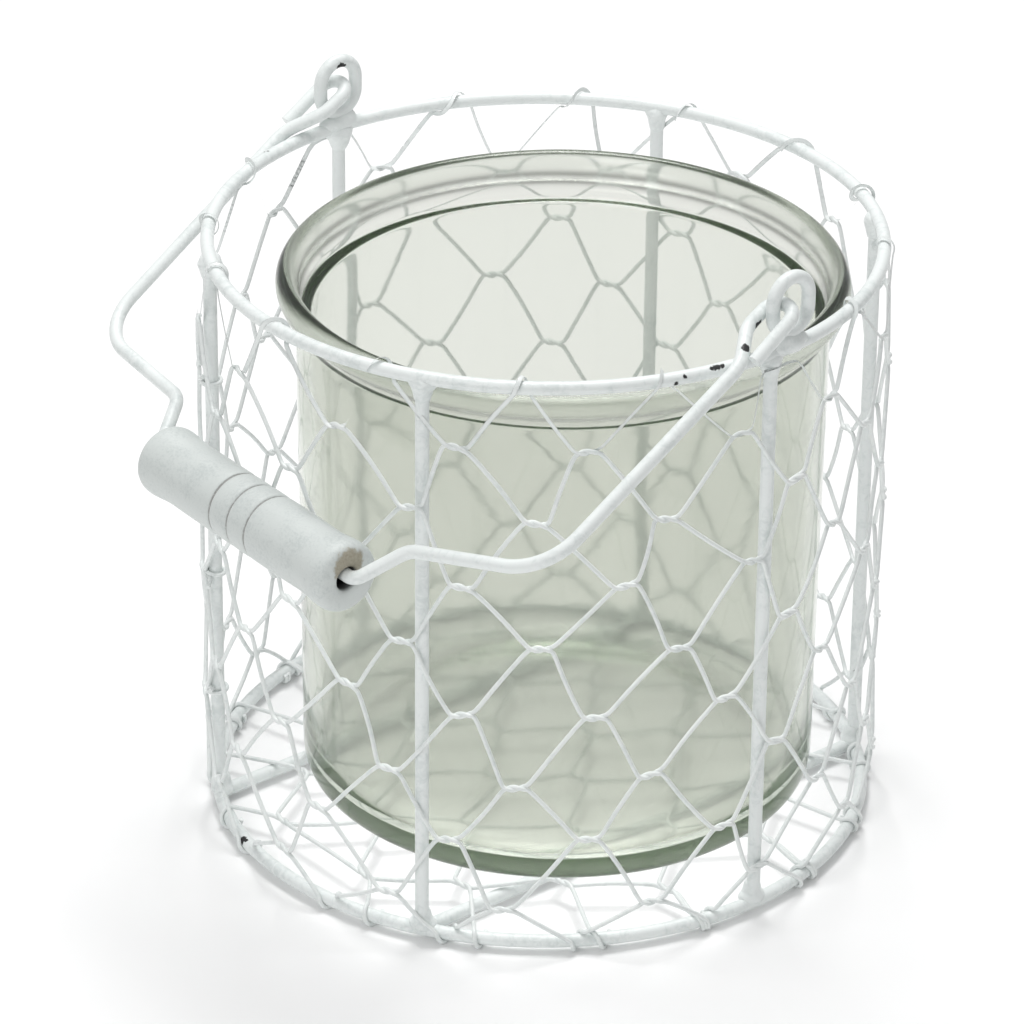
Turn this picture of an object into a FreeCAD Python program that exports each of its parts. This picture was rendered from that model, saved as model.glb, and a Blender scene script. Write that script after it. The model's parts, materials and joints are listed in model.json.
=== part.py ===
import FreeCAD, Part
import math
import os
from FreeCAD import Vector

# A glass jar in a wire basket, with a swinging wire bail and a turned wooden grip.
# Millimetres and degrees. +Z is up, the origin is on the basket's axis at table level,
# +X runs along the bail's hinge line, and the lowered bail lies on the -Y side.

# ---- basket frame: one gauge of round wire throughout ----
WIRE = 3.0
RING_R = 73.5            # centreline radius of both rings
RING_RISE = 134.5        # between the two ring centrelines
POSTS = 6
POST_TURN = -0.95        # the first post stands this far round from +X
POST_LAP = 0.4           # a coped end stops this far short of the other wire's centreline
FLOOR_BARS = {"floor_bar_left": 180, "floor_bar_right": 0}

# ---- ears: oval wire eyes on the top ring that carry the bail ----
EYE_HALF_WIDTH = 5.0     # centreline of the oval
EYE_HALF_HEIGHT = 6.2
EYE_RISE = 9.8           # oval centre above the ring's centreline
EARS = {"left_ear_eye": 179.05, "right_ear_eye": 3.1}

# ---- weld beads ----
WELD_R = 2.3
WELD_SET_IN = 0.7        # bead centres lie this far inside the ring's centreline
WELD_RISE = 1.7
FOOT_WELD_R = 2.7
FOOT_WELD_SET_IN = 1.0
FOOT_WELD_RISE = 1.5
EAR_WELD_R = 2.7
EAR_WELD_RISE = 1.7

# ---- netting: hexagonal mesh of thin wire, tied round both rings ----
NET_WIRE = 1.0
NET_TWIST = 1.7          # two wires twisted together
NET_R = 75.9             # the side netting's centreline radius, outside the posts
NET_CELLS = 16
NET_ROWS = 8
NET_ROW_PITCH = 15.75
NET_TOP_DROP = 14.65     # first row of twists below the top ring
TWIST_LENGTH = 5.5
TOP_TIE_SPREAD = 2.8     # degrees each side of a cell's middle
BOTTOM_TIE_SPREAD = 0.6
TIE_GAP = 0.05
EDGE_GAP = 2.3           # the netting's ends stop this far from a ring's centreline
TIE_CLEAR = 2.8          # degrees kept between a tie and a post
SECTORS = 8
BASE_NET_R = 69.5
BASE_NET_T = 1.8
BASE_CELL_W = 29.7
BASE_CELL_H = 31.2
BASE_HOLE_SCALE = 0.947  # what the wires leave open of each cell

# ---- jar ----
JAR_X, JAR_Y = 1.7, 3.8  # it stands a little off the basket's axis
JAR_GAP = 0.1            # above the base netting
JAR_H = 123.5
JAR_FOOT_R = 57.9
JAR_TOP_R = 58.8
JAR_RIM_R = 63.0
JAR_RIM_H = 6.2
JAR_LIP_R = 58.5         # the mouth narrows from here down to the ledge
JAR_NECK_R = 57.1
JAR_LEDGE_DROP = 10.6    # below the rim's top
JAR_BORE_R = 55.2
JAR_FLOOR = 4.0

# ---- bail: across, along and off its own plane, from the hinge line ----
HINGE_Y = 2.2
HINGE_RISE = 10.4        # above the top ring's centreline
BAIL_DROOP = 29.0        # below level, where the legs lean on the ring
LEG_START = 70.2         # the legs leave the ears on the inside
HOOK_OUT = 77.6          # the hooks come back on the outside
HOOK_BEND = 3.65
# The wire is bent by hand, so its two sides differ: across, along and the bend's radius
# at the end of the leg's first run, the knee, the corner and the shoulder.
RIGHT_BENDS = [(LEG_START, 8.6, 6), (76.6, 17.2, 9), (77.4, 78.2, 14), (45.3, 89.0, 5)]
LEFT_BENDS = [(-LEG_START, 8.6, 6), (-75.4, 17.2, 9), (-71.0, 80.8, 13), (-37.5, 85.2, 5)]
CROSSBAR_BEND = 3.2
CROSSBAR_PROUD = 1.7     # the crossbar's bends stand this far outside the grip

# ---- grip ----
GRIP_ACROSS, GRIP_ALONG = 5.0, 99.4
GRIP_SKEW = 2.15         # out of parallel with the hinge line
GRIP_LENGTH = 66.4
GRIP_END_R = 8.0
GRIP_NECK_R = 7.45
GRIP_MID_R = 7.55
GRIP_BORE_R = 2.5
GRIP_HANG = 0.8          # the bore is loose, so the grip hangs this far below the wire's centre
GROOVES = (5.8, -0.4, -6.6)
GROOVE_HALF_WIDTH = 0.8
GROOVE_DEPTH = 0.45

TIE_R = (WIRE + NET_WIRE) / 2 + TIE_GAP
FOOT_Z = TIE_R + NET_WIRE / 2      # bottom ring's centreline: its ties touch the table
TOP_Z = FOOT_Z + RING_RISE
HINGE_Z = TOP_Z + HINGE_RISE
JAR_Z = FOOT_Z + WIRE / 2 + BASE_NET_T + JAR_GAP
UP = Vector(0, 0, 1)
POST_ANGLES = [POST_TURN + 360 / POSTS * n for n in range(POSTS)]


def polar(radius, angle, z):
    turn = math.radians(angle)
    return Vector(radius * math.cos(turn), radius * math.sin(turn), z)


def tangent(angle):
    return polar(1, angle + 90, 0)


def turned(shape, angle):
    copy = shape.copy()
    copy.rotate(Vector(0, 0, 0), UP, angle)
    return copy


def strut(start, end, diameter):
    return Part.makeCylinder(diameter / 2, start.distanceToPoint(end), start, end - start)


def biggest(shape):
    return max(shape.Solids, key=lambda solid: solid.Volume)


def filleted_run(points, radii):
    """Straight edges through the points, with a tangent arc at each inner point."""
    edges = []
    start = points[0]
    for before, corner, after, radius in zip(points, points[1:], points[2:], radii):
        back = (before - corner).normalize()
        onward = (after - corner).normalize()
        half = back.getAngle(onward) / 2
        reach = radius / math.tan(half)
        first = corner + back * reach
        last = corner + onward * reach
        crown = corner + (back + onward).normalize() * (radius / math.sin(half) - radius)
        edges.append(Part.LineSegment(start, first).toShape())
        edges.append(Part.Arc(first, crown, last).toShape())
        start = last
    edges.append(Part.LineSegment(start, points[-1]).toShape())
    return edges


def bent_wire(points, radii, diameter):
    section = Part.Wire(Part.Circle(points[0], points[1] - points[0], diameter / 2).toShape())
    return Part.Wire(filleted_run(points, radii)).makePipeShell([section], True, False)


def turned_solid(points, radii, axis_point, axis):
    """Revolves a closed outline whose last edge joins its ends."""
    edges = filleted_run(points, radii)
    edges.append(Part.LineSegment(points[-1], points[0]).toShape())
    return Part.Face(Part.Wire(edges)).revolve(axis_point, axis, 360)


# ---- rings, posts and floor bars ----
def ring(z):
    return Part.makeTorus(RING_R, WIRE / 2, Vector(0, 0, z), UP)


def post(angle, rings):
    rod = Part.makeCylinder(WIRE / 2, RING_RISE - 2 * POST_LAP, polar(RING_R, angle, FOOT_Z + POST_LAP), UP)
    return biggest(rod.cut(rings))


def floor_bar(angle, foot_ring):
    """Lies across two neighbouring posts' feet, square to the line through the ears."""
    half_step = 180 / POSTS * 2
    start = polar(RING_R, POST_TURN + angle - half_step, FOOT_Z)
    end = polar(RING_R, POST_TURN + angle + half_step, FOOT_Z)
    lap = (end - start).normalize() * POST_LAP
    return biggest(strut(start + lap, end - lap, WIRE).cut(foot_ring))


# ---- ears ----
def ear_eye(angle):
    """A closed oval of wire standing upright on the top ring, facing along the hinge line."""
    centre = polar(RING_R, angle, TOP_Z + EYE_RISE)
    straight = EYE_HALF_HEIGHT - EYE_HALF_WIDTH
    side = Vector(0, EYE_HALF_WIDTH, 0)
    lift = Vector(0, 0, straight)
    facing = Vector(1, 0, 0)
    crown = Part.makeTorus(EYE_HALF_WIDTH, WIRE / 2, centre + lift, facing, 0, 360, 180)
    base = Part.makeTorus(EYE_HALF_WIDTH, WIRE / 2, centre - lift, facing, 0, 360, 180)
    crown.rotate(centre + lift, facing, 90 - bow_start(crown, centre + lift))
    base.rotate(centre - lift, facing, 270 - bow_start(base, centre - lift))
    limbs = [strut(centre + side * s - lift, centre + side * s + lift, WIRE) for s in (1, -1)]
    return crown.fuse([base] + limbs).removeSplitter()


def bow_start(half_ring, centre):
    """The angle about +X, from +Y, of the middle of a half ring."""
    middle = half_ring.CenterOfMass - centre
    return math.degrees(math.atan2(middle.z, middle.y))


# ---- weld beads: each is what a ball of weld has left outside the wires it joins ----
def bead(centre, radius, wires):
    return biggest(Part.makeSphere(radius, centre).cut(wires))


# ---- netting ----
def net_point(angle, row, shift=0.0):
    z = TOP_Z - NET_TOP_DROP - NET_ROW_PITCH * row
    return polar(NET_R, angle, z) + tangent(angle) * shift


def net_sector():
    """Two cells' width of the side netting, cut at the middle of the twists at its edges."""
    cell = 360 / NET_CELLS
    span = 360 / SECTORS
    half = TWIST_LENGTH / 2
    parts = []
    for row in range(NET_ROWS):
        phase = cell / 2 if row % 2 == 0 else 0
        columns = [phase + cell * n for n in range(3) if phase + cell * n <= span]
        for column in columns:
            left = half if column > 0 else 0
            right = half if column < span else 0
            parts.append(strut(net_point(column, row, -left), net_point(column, row, right), NET_TWIST))
            for side, inside in ((-1, column > 0), (1, column < span)):
                if not inside:
                    continue
                start = net_point(column, row, side * half)
                beyond = column + side * cell / 2
                if row < NET_ROWS - 1:
                    parts.append(strut(start, net_point(beyond, row + 1, -side * half), NET_WIRE))
                else:
                    end = polar(NET_R, beyond - side * BOTTOM_TIE_SPREAD, FOOT_Z + EDGE_GAP)
                    parts.append(strut(start, end, NET_WIRE))
                if row == 0:
                    end = polar(NET_R, beyond - side * TOP_TIE_SPREAD, TOP_Z - EDGE_GAP)
                    parts.append(strut(start, end, NET_WIRE))
    return biggest(parts[0].fuse(parts[1:]))


def clear_of_posts(angle):
    for post_angle in POST_ANGLES:
        apart = (angle - post_angle + 180) % 360 - 180
        if abs(apart) < TIE_CLEAR:
            return post_angle + math.copysign(TIE_CLEAR, apart)
    return angle


def tie(angle, z):
    """A turn of netting wire round a ring."""
    return Part.makeTorus(TIE_R, NET_WIRE / 2, polar(RING_R, angle, z), tangent(angle))


def top_ties():
    cell = 360 / NET_CELLS
    bare = (0, NET_CELLS // 2)      # the ears stand over these two
    middles = [cell * n for n in range(NET_CELLS) if n not in bare]
    return [tie(middle + s * TOP_TIE_SPREAD, TOP_Z) for middle in middles for s in (-1, 1)]


def bottom_ties():
    cell = 360 / NET_CELLS
    return [tie(clear_of_posts(cell * (n + 0.5)), FOOT_Z) for n in range(NET_CELLS)]


def base_netting():
    """A flat disc of the same netting, lying on the floor bars."""
    z = FOOT_Z + WIRE / 2
    disc = Part.makeCylinder(BASE_NET_R, BASE_NET_T, Vector(0, 0, z))
    flat = TWIST_LENGTH / 2
    tip = BASE_CELL_W / 2 - flat
    high = BASE_CELL_H / 2
    outline = [(-flat, high), (flat, high), (tip, 0), (flat, -high), (-flat, -high), (-tip, 0)]
    columns = int(2 * BASE_NET_R / BASE_CELL_W) + 1
    rows = int(2 * BASE_NET_R / high) + 1
    holes = []
    for i in range(-columns, columns + 1):
        for j in range(-rows, rows + 1):
            if (i + j) % 2:
                continue
            x, y = BASE_CELL_W / 2 * i, high * j
            corners = [Vector(x + BASE_HOLE_SCALE * a, y + BASE_HOLE_SCALE * b, z) for a, b in outline]
            face = Part.Face(Part.makePolygon(corners + corners[:1]))
            holes.append(face.extrude(Vector(0, 0, BASE_NET_T)))
    return biggest(disc.cut(holes))


# ---- jar ----
def glass_jar():
    """Straight-sided, with a heavy rolled rim, a stepped neck and a slightly hollow foot."""
    rim_foot = JAR_H - JAR_RIM_H
    ledge = JAR_H - JAR_LEDGE_DROP
    outline = [
        (0, 0.8, None), (44, 0.8, 3), (47, 0, 3), (JAR_FOOT_R, 0, 4),
        (JAR_TOP_R, rim_foot - 3, 3), (JAR_RIM_R, rim_foot + 0.4, 2.4), (JAR_RIM_R, JAR_H, 3),
        (JAR_LIP_R, JAR_H - 0.6, 1.1), (JAR_NECK_R, ledge, 0.3),
        (JAR_BORE_R, ledge, 0.4), (JAR_BORE_R - 0.7, JAR_FLOOR, 4), (0, JAR_FLOOR, None),
    ]
    points = [Vector(JAR_X + r, JAR_Y, JAR_Z + z) for r, z, _ in outline]
    radii = [radius for _, _, radius in outline[1:-1]]
    return turned_solid(points, radii, Vector(JAR_X, JAR_Y, JAR_Z), UP)


# ---- bail and grip ----
def on_bail(across, along, off=0.0):
    """A point given in the bail's own plane, at rest."""
    droop = math.radians(BAIL_DROOP)
    y = HINGE_Y - along * math.cos(droop) - off * math.sin(droop)
    z = HINGE_Z - along * math.sin(droop) + off * math.cos(droop)
    return Vector(across, y, z)


def on_crossbar(out):
    """A point on the grip's axis, this far from the grip's middle."""
    skew = math.radians(GRIP_SKEW)
    return on_bail(GRIP_ACROSS + out * math.cos(skew), GRIP_ALONG + out * math.sin(skew))


def bail_side(side, bends):
    """Points and bend radii from the tip of one hook to the crossbar."""
    run = [(on_bail(side * (HOOK_OUT + 0.3), 14.5, -0.8), None),
           (on_bail(side * HOOK_OUT, 0), HOOK_BEND), (on_bail(side * LEG_START, 0), HOOK_BEND)]
    run += [(on_bail(across, along), radius) for across, along, radius in bends]
    return run + [(on_crossbar(side * (GRIP_LENGTH / 2 + CROSSBAR_PROUD)), CROSSBAR_BEND)]


def bail_wire():
    """Hook, leg, corner, shoulder, a crossbar through the grip, and back to the other hook."""
    run = bail_side(1, RIGHT_BENDS) + bail_side(-1, LEFT_BENDS)[::-1]
    radii = [radius for _, radius in run[1:-1]]
    return bent_wire([point for point, _ in run], radii, WIRE)


def wooden_grip():
    """Turned in one piece: lipped ends, a slight waist behind each, and three grooves."""
    half = GRIP_LENGTH / 2
    end = [(half, GRIP_BORE_R, None), (half, GRIP_END_R, 2.2), (half - 5.0, GRIP_END_R - 0.1, 6),
           (half - 9.0, GRIP_NECK_R, 10), (half - 19, GRIP_MID_R, 8)]
    outline = list(end)
    for middle in GROOVES:
        outline.append((middle + GROOVE_HALF_WIDTH, GRIP_MID_R, 0.2))
        outline.append((middle, GRIP_MID_R - GROOVE_DEPTH, 0.2))
        outline.append((middle - GROOVE_HALF_WIDTH, GRIP_MID_R, 0.2))
    outline += [(-along, radius, fillet) for along, radius, fillet in reversed(end)]
    centre = on_crossbar(0) - UP * GRIP_HANG
    axis = (on_crossbar(1) - on_crossbar(0)).normalize()
    points = [centre + axis * along + UP.cross(axis).cross(axis) * -radius for along, radius, _ in outline]
    radii = [fillet for _, _, fillet in outline[1:-1]]
    return turned_solid(points, radii, centre, axis)


def export(name, *solids):
    for solid in solids:
        if not solid.isValid():
            print("invalid solid in", name)
    shape = solids[0] if len(solids) == 1 else Part.makeCompound(list(solids))
    shape.exportStep("parts/%s.step" % name)
    print("%-22s %2d solids %9.1f mm3" % (name, len(shape.Solids), shape.Volume))


os.makedirs("parts", exist_ok=True)

top_ring = ring(TOP_Z)
foot_ring = ring(FOOT_Z)
export("top_ring", top_ring)
export("bottom_ring", foot_ring)

posts = [post(angle, [top_ring, foot_ring]) for angle in POST_ANGLES]
for number, rod in enumerate(posts, start=1):
    export("post_%d" % number, rod)

bars = {name: floor_bar(angle, foot_ring) for name, angle in FLOOR_BARS.items()}
for name, bar in bars.items():
    export(name, bar)

eyes = {name: ear_eye(angle) for name, angle in EARS.items()}
for name, eye in eyes.items():
    export(name, eye)

post_beads = [
    bead(polar(RING_R - WELD_SET_IN, angle, TOP_Z - WELD_RISE), WELD_R, [top_ring, rod])
    for angle, rod in zip(POST_ANGLES, posts)]
export("top_post_welds", *post_beads)
export("foot_welds", *[
    bead(polar(RING_R - FOOT_WELD_SET_IN, angle, FOOT_Z + FOOT_WELD_RISE), FOOT_WELD_R,
         [foot_ring, rod] + list(bars.values()))
    for angle, rod in zip(POST_ANGLES, posts)])
export("ear_welds", *[
    bead(polar(RING_R, EARS[name], TOP_Z + EAR_WELD_RISE), EAR_WELD_R, [top_ring, eye] + post_beads)
    for name, eye in eyes.items()])

sector = net_sector()
export("side_netting", *[turned(sector, 360 / SECTORS * n) for n in range(SECTORS)])
export("top_netting_ties", *top_ties())
export("bottom_netting_ties", *bottom_ties())
export("base_netting", base_netting())

export("glass_jar", glass_jar())
export("bail_wire", bail_wire())
export("wooden_grip", wooden_grip())
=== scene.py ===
import json
import math
import random

import bpy
from mathutils import Matrix, Vector


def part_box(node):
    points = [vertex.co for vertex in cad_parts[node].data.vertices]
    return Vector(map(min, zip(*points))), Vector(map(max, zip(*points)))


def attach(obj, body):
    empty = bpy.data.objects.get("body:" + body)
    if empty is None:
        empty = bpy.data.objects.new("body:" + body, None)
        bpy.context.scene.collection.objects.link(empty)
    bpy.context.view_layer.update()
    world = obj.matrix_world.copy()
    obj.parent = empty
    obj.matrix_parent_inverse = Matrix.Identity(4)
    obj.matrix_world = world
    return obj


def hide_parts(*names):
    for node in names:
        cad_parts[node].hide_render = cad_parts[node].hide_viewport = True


# A glass jar in a wire basket with a swinging bail and a turned wooden grip.
# Sizes are in metres, written as millimetres times MM.
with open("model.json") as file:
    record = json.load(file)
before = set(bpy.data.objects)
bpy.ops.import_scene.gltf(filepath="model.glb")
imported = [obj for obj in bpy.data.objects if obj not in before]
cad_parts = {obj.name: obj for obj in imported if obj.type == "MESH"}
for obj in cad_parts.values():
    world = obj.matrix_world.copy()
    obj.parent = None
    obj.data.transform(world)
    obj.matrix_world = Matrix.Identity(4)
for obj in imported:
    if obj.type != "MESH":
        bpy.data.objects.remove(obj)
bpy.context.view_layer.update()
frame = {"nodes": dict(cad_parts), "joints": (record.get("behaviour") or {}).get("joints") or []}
MM = 0.001
UP = Vector((0, 0, 1))


# ---- Studio ----
# A white table under a large soft overhead light, with white all round, so that the clear
# glass is drawn by its own thickness. The camera looks down a little over the grip's side.
VIEW_TURN = math.radians(49.4)
VIEW_DOWN = math.radians(28.25)
VIEW_ROLL = math.radians(0.53)
VIEW_DISTANCE = 1.2172
VIEW_ASIDE, VIEW_ABOVE = -0.00679, -0.00097
LENS, SENSOR = 191.8, 36  # millimetres

basket_middle = (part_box("bottom_ring")[0].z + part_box("top_ring")[1].z) / 2 + 0.05 * MM
ahead = Vector((0, math.cos(VIEW_DOWN), -math.sin(VIEW_DOWN)))
level_right = Vector((1, 0, 0))
level_up = level_right.cross(ahead)
right = level_right * math.cos(VIEW_ROLL) + level_up * math.sin(VIEW_ROLL)
up = level_up * math.cos(VIEW_ROLL) - level_right * math.sin(VIEW_ROLL)
stand = -ahead * VIEW_DISTANCE + right * VIEW_ASIDE + up * VIEW_ABOVE
pose = Matrix((right, up, -ahead)).transposed().to_4x4()
pose.translation = stand
bpy.ops.object.camera_add()
camera = bpy.context.object
camera.data.lens = LENS
camera.data.sensor_width = SENSOR
camera.matrix_world = (
    Matrix.Translation((0, 0, basket_middle)) @ Matrix.Rotation(VIEW_TURN, 4, "Z") @ pose
)
bpy.context.scene.camera = camera
bpy.context.scene.view_settings.view_transform = "Standard"
# Light that is trapped in a thick glass rim turns round many times before it comes out.
LIGHT_TURNS = 40
bpy.context.scene.cycles.max_bounces = LIGHT_TURNS
bpy.context.scene.cycles.transmission_bounces = LIGHT_TURNS
bpy.context.scene.cycles.glossy_bounces = LIGHT_TURNS

world = bpy.data.worlds.new("white_room")
world.use_nodes = True
room = world.node_tree.nodes["Background"]
room.inputs["Color"].default_value = (1, 1, 1, 1)
room.inputs["Strength"].default_value = 0.45
bpy.context.scene.world = world


def softbox(name, place, size, watts):
    """A square light that faces the basket."""
    aim = Vector((0, 0, basket_middle)) - Vector(place)
    turned_to = aim.to_track_quat("-Z", "Y").to_euler()
    bpy.ops.object.light_add(type="AREA", location=place, rotation=turned_to)
    box = bpy.context.object
    box.name = name
    box.data.size = size
    box.data.energy = watts


softbox("overhead_light", (-0.25, 0.2, 1.1), 0.55, 9)
softbox("window_light", (0.45, -1.1, 0.75), 0.7, 4.5)

TABLE_SIZE = 12
bpy.ops.mesh.primitive_plane_add(size=TABLE_SIZE)
table = bpy.context.object
table.name = "table_top"
table_paper = bpy.data.materials.new("table_paper")
table_paper.use_nodes = True
paper = table_paper.node_tree.nodes["Principled BSDF"]
paper.inputs["Base Color"].default_value = (0.93, 0.93, 0.93, 1)
paper.inputs["Roughness"].default_value = 0.9
table.data.materials.append(table_paper)


# ---- Basket frame: rings, posts, floor bars, eyes and bail ----
# Round mild-steel wire, brushed by hand with thick cool white paint that has run, pooled and
# been knocked off in a few places, where the wire shows black.
class Tone:
    """A socket in a material's node tree. Arithmetic on it adds Math nodes."""

    def __init__(self, tree, socket=None):
        self.tree = tree
        self.socket = socket

    def node(self, kind, settings=None, inputs=None, out=0):
        """A node of this kind, with its settings made first and then its sockets."""
        made = self.tree.nodes.new("ShaderNode" + kind)
        for name, value in (settings or {}).items():
            setattr(made, name, value)
        for name, value in (inputs or {}).items():
            if isinstance(value, Tone):
                self.tree.links.new(value.socket, made.inputs[name])
            else:
                made.inputs[name].default_value = value
        return Tone(self.tree, made.outputs[out] if made.outputs else None)

    def math(self, operation, first, second):
        return self.node("Math", {"operation": operation}, {0: first, 1: second})

    def __add__(self, other):
        return self.math("ADD", self, other)

    def __sub__(self, other):
        return self.math("SUBTRACT", self, other)

    def __rsub__(self, other):
        return self.math("SUBTRACT", other, self)

    def __mul__(self, other):
        return self.math("MULTIPLY", self, other)

    __radd__ = __add__
    __rmul__ = __mul__

    def largest(self, other):
        """The larger of two masks at each place."""
        return self.math("MAXIMUM", self, other)

    def between(self, low, high):
        """0 below low, 1 above high and a smooth rise from one to the other."""
        return self.node("MapRange", {"interpolation_type": "SMOOTHSTEP"},
                         {"Value": self, "From Min": low, "From Max": high})

    def blend(self, under, over):
        """One colour where this is 0 and the other where it is 1."""
        return self.node("Mix", {"data_type": "RGBA"}, {"Factor": self, 6: under, 7: over}, out=2)


def new_finish(name):
    """An empty material, the start of its nodes, and its Object coordinates in millimetres."""
    finish = bpy.data.materials.new(name)
    finish.use_nodes = True
    finish.node_tree.nodes.clear()
    start = Tone(finish.node_tree)
    place = start.node("TexCoord", out=3)
    return finish, start, start.node("VectorMath", {"operation": "SCALE"}, {0: place, "Scale": 1 / MM})


def noise(start, place, scale, detail=3.0, roughness=0.5, distortion=0.0):
    """Soft unevenness from 0 to 1; scale is in lumps to the millimetre."""
    return start.node("TexNoise", {}, {"Vector": place, "Scale": scale, "Detail": detail,
                                       "Roughness": roughness, "Distortion": distortion})


def surface(start, shader):
    start.node("OutputMaterial", {}, {"Surface": shader})


def spot(start, place, centre, radius, ragged, edge):
    """1 inside a ragged round patch about a point, 0 outside it."""
    away = start.node("VectorMath", {"operation": "DISTANCE"}, {0: place, 1: centre}, out=1)
    return 1 - (away + ragged).between(radius - edge, radius + edge)


BARE_WIRE = (0.012, 0.012, 0.013, 1)


def painted_wire(name, coat, shade, lumps, chips):
    """Brushed white paint on black wire. A chip is a centre and a radius, in millimetres."""
    finish, start, place = new_finish(name)
    cloud = noise(start, place, 0.09, 4)
    stroke = noise(start, place, 0.55, 3, 0.6, 0.8)
    grain = noise(start, place, 2.6, 2)
    ragged = (noise(start, place, 1.1, 3, 0.65) - 0.5) * 1.3
    bare = None
    for centre, radius in chips:
        chip = spot(start, place, centre, radius, ragged, 0.12)
        bare = chip if bare is None else bare.largest(chip)
    thin = (stroke * 0.65 + cloud * 0.55).between(0.55, 0.8)
    colour = thin.blend(coat, shade)
    height = cloud * 1.2 + stroke * 0.4 + grain * 0.12
    roughness = 0.36 + stroke * 0.2
    if bare is not None:
        colour = bare.blend(colour, BARE_WIRE)
        height = height - bare * 0.9
        roughness = roughness + bare * 0.2
    bump = start.node("Bump", {}, {"Strength": 0.55, "Distance": lumps * MM, "Height": height})
    shader = start.node("BsdfPrincipled", {}, {"Base Color": colour, "Roughness": roughness,
                                               "Normal": bump, "Coat Weight": 0.15})
    surface(start, shader)
    return finish


FRAME_WHITE = (0.78, 0.815, 0.805, 1)
FRAME_SHADE = (0.66, 0.705, 0.695, 1)
FRAME_LUMPS = 0.25
CHIPS = [
    # the left eye's crown
    ((-72.3, 0.9, 152.2), 1.05), ((-72.3, 2.0, 151.9), 0.7),
    # the bail's right leg
    ((71.7, -3.7, 143.7), 0.75), ((71.5, -3.0, 144.2), 0.5), ((75.1, -10.1, 141.9), 1.0),
    # the top ring, by the right eye and by the left one
    ((72.4, -17.0, 138.2), 0.5), ((72.6, -16.2, 138.3), 0.6), ((72.8, -15.4, 138.3), 0.6),
    ((72.9, -14.6, 138.3), 0.5), ((71.1, -23.2, 137.8), 0.42), ((70.5, -25.2, 136.6), 0.42),
    ((-70.2, -21.6, 138.4), 0.3), ((-70.5, -22.4, 138.3), 0.3),
    # the foot ring and two of the posts
    ((-16.9, -72.4, 3.3), 0.95), ((-15.9, -72.7, 3.9), 0.5),
    ((36.0, -64.9, 33.2), 0.7), ((38.3, 62.4, 22.4), 0.8), ((38.1, 62.2, 24.4), 0.35),
]
FRAME_NODES = ("top_ring", "bottom_ring", "post_", "floor_bar", "left_ear", "right_ear", "bail_wire")
frame_paint = painted_wire("frame_paint", FRAME_WHITE, FRAME_SHADE, FRAME_LUMPS, CHIPS)
for name, node in frame["nodes"].items():
    if name.startswith(FRAME_NODES):
        for slot in node.material_slots:
            slot.material = frame_paint


# ---- Glass jar ----
# Pressed soda glass with a grey-green cast: a heavy rolled rim, a ledge inside the mouth, straight
# sides about 3 mm thick and a slightly hollow foot. The mould leaves the walls uneven and a little
# cloudy, most of all in the rim and the floor.
jar_low, jar_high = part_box("glass_jar")
jar_middle = (jar_low + jar_high) / 2


def turned(name, outline, sides):
    """A solid of revolution about Z: a ring is extruded from each (radius, height) to the next."""
    bpy.ops.object.select_all(action="DESELECT")
    radius, height = outline[0]
    bpy.ops.mesh.primitive_circle_add(vertices=sides, radius=radius, location=(0, 0, 0))
    piece = bpy.context.object
    piece.name = name
    bpy.ops.object.mode_set(mode="EDIT")
    bpy.ops.mesh.select_all(action="SELECT")
    bpy.ops.transform.translate(value=(0, 0, height))
    for next_radius, next_height in outline[1:]:
        bpy.ops.mesh.extrude_region_move(TRANSFORM_OT_translate={"value": (0, 0, next_height - height)})
        grow = next_radius / radius
        bpy.ops.transform.resize(value=(grow, grow, 1), center_override=(0, 0, 0))
        radius, height = next_radius, next_height
    return piece


def apply_modifier(piece, kind, **settings):
    """Adds a modifier with these settings and makes it part of the mesh."""
    bpy.ops.object.select_all(action="DESELECT")
    bpy.context.view_layer.objects.active = piece
    piece.select_set(True)
    modifier = piece.modifiers.new(kind.lower(), kind)
    for name, value in settings.items():
        setattr(modifier, name, value)
    bpy.ops.object.modifier_apply(modifier=modifier.name)


def close_and_face_out(piece):
    """Merges the poles and turns every face outwards."""
    bpy.ops.mesh.select_all(action="SELECT")
    bpy.ops.mesh.remove_doubles(threshold=0.02 * MM)
    bpy.ops.mesh.normals_make_consistent(inside=False)
    bpy.ops.object.mode_set(mode="OBJECT")


JAR_SIDES = 96
POLE = 4e-6  # as good as on the axis
jar_outline = [
    # under the foot
    (POLE, 0.8), (12, 0.8), (28, 0.78), (42, 0.7), (45.5, 0.35), (48, 0.05), (51, 0.0), (54, 0.1),
    # up the outside
    (56.2, 0.9), (57.4, 2.3), (57.85, 4.2), (57.95, 8), (57.95, 14), (58.0, 24), (58.1, 40),
    (58.25, 60), (58.45, 80), (58.6, 98), (58.6, 108), (58.6, 112.6),
    # over the rolled rim
    (58.75, 114.4), (59.5, 115.8), (60.9, 116.7), (62.2, 117.7), (62.85, 118.9), (63.0, 120.2),
    (62.7, 121.6), (61.9, 122.8), (60.9, 123.4), (59.9, 123.4), (59.0, 122.7), (58.4, 121.2),
    # down the mouth to its ledge
    (58.0, 118.6), (57.6, 115.8), (57.3, 113.8), (57.2, 113.2), (56.95, 112.95), (56.4, 112.85),
    (55.8, 112.8), (55.4, 112.65), (55.2, 112.2), (55.15, 111.2),
    # down the inside and across the floor
    (55.15, 108), (55.2, 98), (55.05, 80), (54.9, 60), (54.75, 40), (54.6, 24), (54.6, 14),
    (54.4, 8.5), (53.7, 6.1), (52.2, 4.7), (49, 4.1), (40, 3.9), (24, 4.0), (10, 4.05), (POLE, 4.05),
]
jar = turned("mason_jar", [(radius * MM, height * MM) for radius, height in jar_outline], JAR_SIDES)
close_and_face_out(jar)
apply_modifier(jar, "SUBSURF", levels=1, render_levels=1)
ripple = bpy.data.textures.new("glass_ripple", "CLOUDS")
ripple.noise_scale = 0.03
ripple.noise_depth = 1
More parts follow.
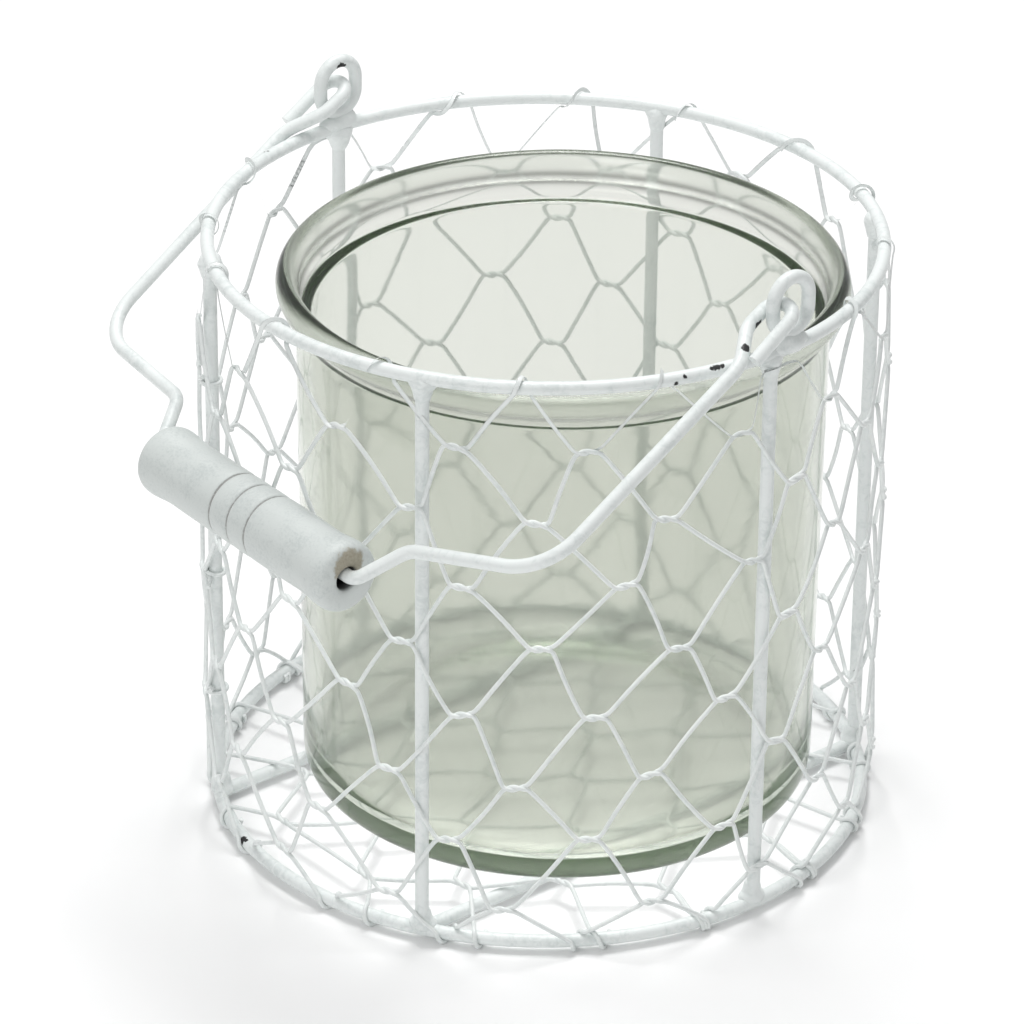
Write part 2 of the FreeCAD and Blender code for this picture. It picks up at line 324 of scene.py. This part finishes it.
MOULD_RIPPLE = 0.2 * MM
apply_modifier(jar, "DISPLACE", texture=ripple, texture_coords="LOCAL", strength=MOULD_RIPPLE,
               mid_level=0.5)
bpy.ops.object.shade_smooth()
jar.data.transform(Matrix.Translation((jar_middle.x, jar_middle.y, jar_low.z)))

GLASS_WHITE = (0.785, 0.79, 0.755, 1)
GLASS_GREEN = (0.19, 0.375, 0.10, 1)
GLASS_DEPTH = 26.0
RIM_HEIGHT = 9
FLOOR_REACH = 48
jar_glass, start, place = new_finish("jar_glass")
drawn_out = start.node("Mapping", {}, {"Vector": place, "Scale": (1, 1, 2.5)})
flow = noise(start, drawn_out, 0.09, 1.5, 0.5, 0.3)
bump = start.node("Bump", {}, {"Strength": 0.07, "Distance": 0.4 * MM, "Height": flow})
floor_middle = Vector((jar_middle.x, jar_middle.y, jar_low.z)) / MM
in_floor = spot(start, place, floor_middle, FLOOR_REACH, 0, 3)
rim_foot = jar_high.z / MM - RIM_HEIGHT
in_rim = start.node("SeparateXYZ", {}, {0: place}, out=2).between(rim_foot, rim_foot + 3)
cloudy = 0.035 + flow * 0.07 + in_rim * 0.12 + in_floor * 0.12
shader = start.node("BsdfPrincipled", {}, {
    "Base Color": GLASS_WHITE, "Roughness": cloudy, "IOR": 1.5, "Transmission Weight": 1.0,
    "Normal": bump})
tint = start.node("VolumeAbsorption", {}, {"Color": GLASS_GREEN, "Density": GLASS_DEPTH})
start.node("OutputMaterial", {}, {"Surface": shader, "Volume": tint})
jar.data.materials.append(jar_glass)
# The light passes through it to the wires behind and to the table.
jar.visible_shadow = False
jar.visible_diffuse = False
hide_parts("glass_jar")
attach(jar, "jar")


# ---- Side netting ----
# Soft wire knotted into six-sided cells. The wires run round the basket, and each is twisted
# in turn with the one above it and the one below; the edge wires are wound round the rings.
NET_WIRE = 1.0 * MM
TWIST = 1.7 * MM
TWIST_LENGTH = 5.5 * MM
TWIST_STEPS = 6
RING_TURN_STEPS = 12
STRAND_OFF = 0.42 * NET_WIRE  # from the twist's middle line
FLATTENING = 0.7 * MM
CELLS = 16
ROWS = 8
CELL = 360 / CELLS
ROW_PITCH = 15.75 * MM
FIRST_ROW_DROP = 14.65 * MM
POST_AT = -0.95
EAR_COLUMNS = (0, CELLS // 2)

ring_low, ring_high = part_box("top_ring")
ring_wire = ring_high.z - ring_low.z
ring_radius = ring_high.x - ring_wire / 2
top_z = (ring_high.z + ring_low.z) / 2
foot_z = (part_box("bottom_ring")[0].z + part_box("bottom_ring")[1].z) / 2
net_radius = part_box("side_netting")[1].x - TWIST / 2
tie_radius = (ring_wire + NET_WIRE) / 2 + 0.05 * MM
hand = random.Random(7)


def polar(radius, angle, z):
    turn = math.radians(angle)
    return Vector((radius * math.cos(turn), radius * math.sin(turn), z))


def net_surface(angle, z, out=0.0):
    """On the netting's round wall, which is pulled a little flat between the posts."""
    slack = (1 - math.cos(math.radians(6 * (angle - POST_AT)))) / 2
    return polar(net_radius - FLATTENING * slack + out, angle, z)


def pulled_round(z):
    """How far the cells lean round the basket, in degrees, where the netting was drawn tight."""
    level = (z - 35 * MM) / (100 * MM)
    return 4.5 * math.sin(math.pi * min(max(level, 0), 1))


def twist_places():
    """Each twist's angle, height, tilt and stand-off, a little out of true as hand work is."""
    places = {}
    for row in range(ROWS):
        phase = CELL / 2 if row % 2 == 0 else 0
        z = top_z - FIRST_ROW_DROP - ROW_PITCH * row
        for column in range(CELLS):
            angle = phase + CELL * column + pulled_round(z) + hand.uniform(-2.1, 2.1)
            places[row, column] = (angle, z + hand.uniform(-1.5, 1.5) * MM,
                                   hand.uniform(-0.22, 0.22), hand.uniform(-0.15, 0.1) * MM)
    return places


twists = twist_places()


def twist_strand(row, column, lower):
    """One of the two strands of a twist, as points: it makes one full turn about the other."""
    angle, z, tilt, out = twists[row, column % CELLS]
    angle += 360 * (column // CELLS)
    points = []
    for step in range(TWIST_STEPS + 1):
        along = (step / TWIST_STEPS - 0.5) * TWIST_LENGTH
        turn = 2 * math.pi * step / TWIST_STEPS + (math.pi if lower else 0)
        side = math.degrees(along / net_radius)
        lift = along * tilt + STRAND_OFF * math.cos(turn)
        points.append(net_surface(angle + side, z + lift, out + STRAND_OFF * math.sin(turn)))
    return points


def ring_turn(angle, z, start_turn, end_turn, spread, slack):
    """A turn of wire round a ring's section, moving along the ring as it goes."""
    points = []
    for step in range(RING_TURN_STEPS + 1):
        part = step / RING_TURN_STEPS
        turn = math.radians(start_turn + (end_turn - start_turn) * part)
        reach = tie_radius + slack * math.sin(math.pi * part)
        at = angle + spread * (part - 0.5)
        points.append(polar(ring_radius + reach * math.cos(turn), at, z + reach * math.sin(turn)))
    return points


def clear_of_posts(angle, keep):
    """The angle, moved off a post if it is nearer than keep."""
    for post in range(6):
        apart = (angle - POST_AT - 60 * post + 180) % 360 - 180
        if abs(apart) < keep:
            return angle - apart + math.copysign(keep, apart)
    return angle


def top_tie(column):
    """The edge wire's turn round the top ring, or its pass behind an eye."""
    angle = CELL * column
    if column % CELLS in EAR_COLUMNS:
        return [net_surface(angle + side, top_z - 2.6 * MM, -0.8 * MM) for side in (-4, 0, 4)]
    spread = hand.uniform(3.0, 7.5)
    angle = clear_of_posts(angle + hand.uniform(-1.5, 1.5), 3 + spread / 2)
    return ring_turn(angle, top_z, -25, 285, spread, hand.uniform(0, 0.5) * MM)


def foot_tie(column):
    """The edge wire's turn round the bottom ring."""
    spread = hand.uniform(1.6, 4.0)
    angle = clear_of_posts(CELL * (column + 0.5) + hand.uniform(-1, 1), 3 + spread / 2)
    return ring_turn(angle, foot_z, 25, -285, spread, 0)


def bowed(start_point, end_point):
    """Three points between two, slightly bowed, as a hand-pulled wire lies."""
    way = end_point - start_point
    bow = way.cross(start_point.normalized()).normalized() * hand.uniform(-0.5, 0.5) * MM
    return [start_point + way * part + bow * math.sin(math.pi * part) for part in (0.25, 0.5, 0.75)]


def joined_runs(stations):
    """The stations' points in one line, with bowed stretches between them."""
    points = list(stations[0])
    for station in stations[1:]:
        points += bowed(points[-1], station[0]) + station
    return points


def wire_tube(name, points, thickness, closed=False):
    """A round wire along a smooth line through these points, as a mesh."""
    bpy.ops.object.select_all(action="DESELECT")
    line = bpy.data.curves.new(name, "CURVE")
    line.dimensions = "3D"
    spline = line.splines.new("NURBS")
    spline.points.add(len(points) - 1)
    for knot, point in zip(spline.points, points):
        knot.co = (*point, 1)
    spline.order_u = 3
    spline.use_cyclic_u = closed
    spline.use_endpoint_u = not closed
    line.resolution_u = 2
    line.bevel_depth = thickness / 2
    line.bevel_resolution = 2
    line.use_fill_caps = not closed
    piece = bpy.data.objects.new(name, line)
    bpy.context.collection.objects.link(piece)
    piece.select_set(True)
    bpy.context.view_layer.objects.active = piece
    bpy.ops.object.convert(target="MESH")
    bpy.ops.object.shade_smooth()
    return bpy.context.object


def joined(name, pieces):
    """These pieces as one mesh."""
    bpy.ops.object.select_all(action="DESELECT")
    for piece in pieces:
        piece.select_set(True)
    bpy.context.view_layer.objects.active = pieces[0]
    if len(pieces) > 1:
        bpy.ops.object.join()
    bpy.context.object.name = name
    return bpy.context.object


net_wires = []
for number in range(ROWS + 1):
    above, below = number - 1, number
    stations = []
    for column in range(CELLS):
        upper = twist_strand(above, column, True) if above >= 0 else top_tie(column)
        lower = twist_strand(below, column, False) if below < ROWS else foot_tie(column)
        # an even row is half a cell further round, so the wire below it meets it second
        stations += [lower, upper] if above % 2 == 0 else [upper, lower]
    round_run = joined_runs(stations + stations[:1])[:-1]
    net_wires.append(wire_tube("net_wire", round_run, NET_WIRE, closed=True))

# The netting's two cut ends meet at one post, where a few of the wires are wound round it.
SEAM_POST = POST_AT + 240
SEAM_ROWS = (1, 3, 4, 6)
SEAM_STEP = 30   # degrees
SEAM_LEAD = 3.6  # degrees
seam_post_axis = polar(ring_radius, SEAM_POST, 0)
for row in range(ROWS):
    z = top_z - FIRST_ROW_DROP - ROW_PITCH * row + hand.uniform(-3, 3) * MM
    side = 1 if row % 2 else -1
    climb = hand.uniform(-2.0, 2.5) * MM
    turns = hand.uniform(380, 560)
    steps = int(turns / SEAM_STEP)
    if row not in SEAM_ROWS:
        continue
    climb *= 1.6
    points = [net_surface(SEAM_POST - side * SEAM_LEAD, z - climb)]
    for step in range(steps + 1):
        turn = math.radians(SEAM_POST - side * 60 + side * turns * step / steps)
        reach = tie_radius + hand.uniform(0, 0.25) * MM
        points.append(seam_post_axis + Vector((math.cos(turn), math.sin(turn), 0)) * reach
                      + UP * (z + climb * (step / steps - 0.5)))
    net_wires.append(wire_tube("seam_turn", points, NET_WIRE * 0.95))
side_netting = joined("hexagonal_netting", net_wires)

NET_WHITE = (0.78, 0.81, 0.80, 1)
NET_SHADE = (0.68, 0.72, 0.71, 1)
NET_LUMPS = 0.2
netting_paint = painted_wire("netting_paint", NET_WHITE, NET_SHADE, NET_LUMPS, [])
side_netting.data.materials.append(netting_paint)
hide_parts("side_netting", "top_netting_ties", "bottom_netting_ties")
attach(side_netting, "basket")


# ---- Base netting ----
# A round of the same netting laid on the floor bars. Its cut ends are bent over the bottom ring
# and given a turn round it.
BASE_PITCH_X = 14.85 * MM
BASE_PITCH_Y = 15.6 * MM
BASE_STRAND_OFF = 0.36 * NET_WIRE
BASE_OVERHANG = Vector((6 * MM, 0, 0))  # a cut end runs on this far before it turns down
base_low, base_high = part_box("base_netting")
base_z = (base_low.z + base_high.z) / 2
base_reach = base_high.x - 0.6 * MM


def flat_twist(i, j, lower, places):
    """A twist's strand in the flat net, at column i and row j."""
    x, y, tilt = places[i, j]
    points = []
    for step in range(TWIST_STEPS + 1):
        along = (step / TWIST_STEPS - 0.5) * TWIST_LENGTH
        turn = 2 * math.pi * step / TWIST_STEPS + (math.pi if lower else 0)
        side = along * tilt + BASE_STRAND_OFF * math.cos(turn)
        points.append(Vector((x + along, y + side, base_z + BASE_STRAND_OFF * math.sin(turn))))
    return points


def ring_end(point, towards):
    """From the net's edge over the bottom ring and once round it."""
    angle = math.degrees(math.atan2(point.y, point.x))
    angle = clear_of_posts(angle, 4.5)
    return ring_turn(angle, foot_z, 130, -200, towards * hand.uniform(2, 4), 0)


base_places = {}
for i in range(-6, 7):
    for j in range(-6, 7):
        if (i + j) % 2:
            base_places[i, j] = (BASE_PITCH_X * i + hand.uniform(-1.6, 1.6) * MM,
                                 BASE_PITCH_Y * j + hand.uniform(-1.6, 1.6) * MM,
                                 hand.uniform(-0.25, 0.25))
base_wires = []
for j in range(-5, 5):
    run = []
    for i in range(-6, 7):
        row = j if (i + j) % 2 else j + 1
        strand = flat_twist(i, row, row == j + 1, base_places)
        if max(point.length for point in strand) < base_reach:
            run.append(strand)
    if len(run) < 2:
        continue
    points = joined_runs(run)
    left_end = ring_end(points[0] - BASE_OVERHANG, 1)[::-1]
    right_end = ring_end(points[-1] + BASE_OVERHANG, 1)
    base_wires.append(wire_tube("base_wire", left_end + points + right_end, NET_WIRE))
base_netting = joined("floor_netting", base_wires)
base_netting.data.materials.append(netting_paint)
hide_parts("base_netting")
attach(base_netting, "basket")


# ---- Wooden grip ----
# Turned beech, painted white: lipped ends, a slight waist behind each and three fine grooves.
# It is bored through for the bail and turns on it; the paint is rubbed off round the bore.
GRIP_HALF = 33.2  # millimetres, from its middle to an end
GRIP_SIDES = 64
GROOVES = (5.8, -0.4, -6.6)
BORE = 2.5
grip_joint = next(joint for joint in frame["joints"] if joint["name"] == "grip_spin")
grip_low, grip_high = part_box("wooden_grip")
grip_middle = (grip_low + grip_high) / 2
grip_axis = Vector(grip_joint["axis"]).normalized()
# radius and depth from the end: out of the bore, over the lip and down to the waist
lipped_end = [(BORE, 6), (BORE, 0.9), (3.1, 0.25), (4.4, 0.02), (5.6, 0), (6.8, 0.25), (7.65, 1.0),
              (8.0, 2.3), (7.95, 4.2), (7.75, 6.0), (7.45, 8.6), (7.42, 10.5), (7.5, 14), (7.55, 19)]
end = [(radius, GRIP_HALF - depth) for radius, depth in lipped_end]
body = []
for groove in GROOVES:
    body += [(7.56, groove + 2.0), (7.55, groove + 0.75), (7.42, groove + 0.42), (7.1, groove + 0.12),
             (7.1, groove - 0.12), (7.42, groove - 0.42), (7.55, groove - 0.75), (7.56, groove - 2.0)]
grip_outline = end + body + [(radius, -along) for radius, along in reversed(end)] + end[:1]
grip_profile = [(radius * MM, along * MM) for radius, along in grip_outline]
grip = turned("wooden_grip_turned", grip_profile, GRIP_SIDES)
close_and_face_out(grip)
apply_modifier(grip, "SUBSURF", levels=1, render_levels=1)
bpy.ops.object.shade_smooth()
lie_along_bail = grip_axis.to_track_quat("Z", "Y").to_matrix().to_4x4()
grip.data.transform(Matrix.Translation(grip_middle) @ lie_along_bail)

GRIP_WHITE, GRIP_SHADE = (0.61, 0.645, 0.63, 1), (0.51, 0.55, 0.54, 1)
# Painted shade: the dark colour laid along the grooves.
GROOVE_PAINTED_SHADE = (0.21, 0.20, 0.19, 1)
PALE_WOOD, BROWN_WOOD = (0.50, 0.47, 0.38, 1), (0.22, 0.20, 0.15, 1)
# Painted shade: the near-black colour inside the bore.
BORE_PAINTED_SHADE = (0.015, 0.014, 0.013, 1)
WORN = ((1, (0.0, 0.0, 3.4), 3.7), (-1, (0.0, 0.0, -2.2), 2.5))  # end, offset and radius


def painted_wood():
    """White paint thin enough to show the grain, worn to beige wood round the bore's mouth, with
    painted shade along the grooves and inside the bore.
    """
    finish, start, place = new_finish("grip_paint")
    from_middle = start.node("VectorMath", {"operation": "SUBTRACT"},
                             {0: place, 1: grip_middle / MM})
    along = start.node("VectorMath", {"operation": "DOT_PRODUCT"},
                       {0: from_middle, 1: grip_axis}, out=1)
    cloud = noise(start, place, 0.12, 4, 0.6)
    speckle = noise(start, place, 1.6, 4, 0.7)
    paint = (cloud * 0.5 + speckle * 0.6).between(0.5, 0.75).blend(GRIP_WHITE, GRIP_SHADE)
    line = None
    for groove in GROOVES:
        off = start.node("Math", {"operation": "ABSOLUTE"}, {0: along - groove})
        cut = 1 - (off + (cloud - 0.5) * 0.5).between(0.1, 0.32)
        line = cut if line is None else line.largest(cut)
    line = line * (speckle * 1.6).between(0.35, 0.8)
    # Painted shade: broken dark lines along the grooves.
    colour = (line * 0.75).blend(paint, GROOVE_PAINTED_SHADE)
    ragged = (noise(start, place, 0.8, 4, 0.7) - 0.5) * 3.2
    bare_wood = None
    for mouth, rub, size in WORN:
        centre = grip_middle / MM + grip_axis * mouth * GRIP_HALF + Vector(rub)
        patch = spot(start, place, centre, size, ragged, 0.5)
        bare_wood = patch if bare_wood is None else bare_wood.largest(patch)
    colour = bare_wood.blend(colour, speckle.blend(PALE_WOOD, BROWN_WOOD))
    out_from_axis = start.node("VectorMath", {"operation": "CROSS_PRODUCT"},
                               {0: from_middle, 1: grip_axis})
    radius = start.node("VectorMath", {"operation": "LENGTH"}, {0: out_from_axis}, out=1)
    # Painted shade: the inside of the bore is coloured near black.
    colour = (1 - radius.between(BORE, BORE + 0.4)).blend(colour, BORE_PAINTED_SHADE)
    height = cloud + speckle * 0.35 - bare_wood * 0.5 - line * 0.6
    bump = start.node("Bump", {}, {"Strength": 0.5, "Distance": 0.25 * MM, "Height": height})
    surface(start, start.node("BsdfPrincipled", {}, {
        "Base Color": colour, "Roughness": 0.5 + bare_wood * 0.3, "Normal": bump}))
    return finish


grip_paint = painted_wood()
grip.data.materials.append(grip_paint)
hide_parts("wooden_grip")
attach(grip, "grip")


# ---- Welds ----
# Each joint of the frame is a blob of weld run into the corner, smoothed over by the paint.
EAR_AT = (179.05, 3.1)
WELD_GRAIN = 0.25 * MM
POST_SKIN = 1.55 * MM  # the weld tapers to this round a post
UPSIDE_DOWN = (math.pi, 0, 0)


def lump(centre, size, turn):
    """A ball of weld; size is across the ring, along it and upwards, turn is its place round it."""
    bpy.ops.mesh.primitive_ico_sphere_add(subdivisions=3, radius=1, location=centre, scale=size,
                                          rotation=(0, 0, math.radians(turn)))
    return bpy.context.object


def flare(centre, narrow, wide, depth, tilt=(0, 0, 0)):
    """Weld run down a wire: a cone that opens upwards."""
    bpy.ops.mesh.primitive_cone_add(vertices=24, radius1=narrow, radius2=wide, depth=depth,
                                    location=centre, rotation=tilt)
    return bpy.context.object


def run_together(name, balls, node, swell):
    """Joins the balls into one skin, softens it and lets it bulge here and there."""
    blob = joined(name, balls)
    bpy.ops.object.transform_apply(location=True, rotation=True, scale=True)
    apply_modifier(blob, "REMESH", mode="VOXEL", voxel_size=WELD_GRAIN)
    apply_modifier(blob, "SMOOTH", factor=0.6, iterations=8)
    lumps = bpy.data.textures.new(name + "_lumps", "CLOUDS")
    lumps.noise_scale = 0.003
    apply_modifier(blob, "DISPLACE", texture=lumps, texture_coords="LOCAL", strength=swell,
                   mid_level=0.4)
    bpy.ops.object.shade_smooth()
    blob.data.materials.clear()
    blob.data.materials.append(frame_paint)
    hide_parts(node)
    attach(blob, "basket")


weld_hand = random.Random(4)
top_balls, foot_balls = [], []
for post in range(6):
    at = POST_AT + 60 * post
    full = weld_hand.uniform(0.9, 1.2) * MM
    under = polar(ring_radius - 0.2 * MM, at, top_z - 1.3 * MM)
    top_balls.append(lump(under, (2.15 * full, 3.0 * full, 1.9 * full), at))
    top_balls.append(flare(under - UP * 2.2 * MM, POST_SKIN, 2.5 * full, 4.0 * MM))
    full = weld_hand.uniform(0.95, 1.25) * MM
    over = polar(ring_radius - 0.5 * MM, at, foot_z + 1.3 * MM)
    foot_balls.append(lump(over, (2.5 * full, 3.2 * full, 1.9 * full), at))
    foot_balls.append(flare(over + UP * 2.0 * MM, POST_SKIN, 2.5 * full, 3.6 * MM, UPSIDE_DOWN))
run_together("top_weld_blobs", top_balls, "top_post_welds", 0.5 * MM)
run_together("foot_weld_blobs", foot_balls, "foot_welds", 0.6 * MM)
ear_balls = []
for at in EAR_AT:
    bed = polar(ring_radius, at, top_z + 0.9 * MM)
    crest = polar(ring_radius, at - 1.2, top_z + 1.8 * MM)
    ear_balls.append(lump(bed, (2.3 * MM, 5.2 * MM, 2.3 * MM), at))
    ear_balls.append(lump(crest, (2.0 * MM, 3.2 * MM, 2.0 * MM), at))
run_together("ear_weld_blobs", ear_balls, "ear_welds", 0.7 * MM)
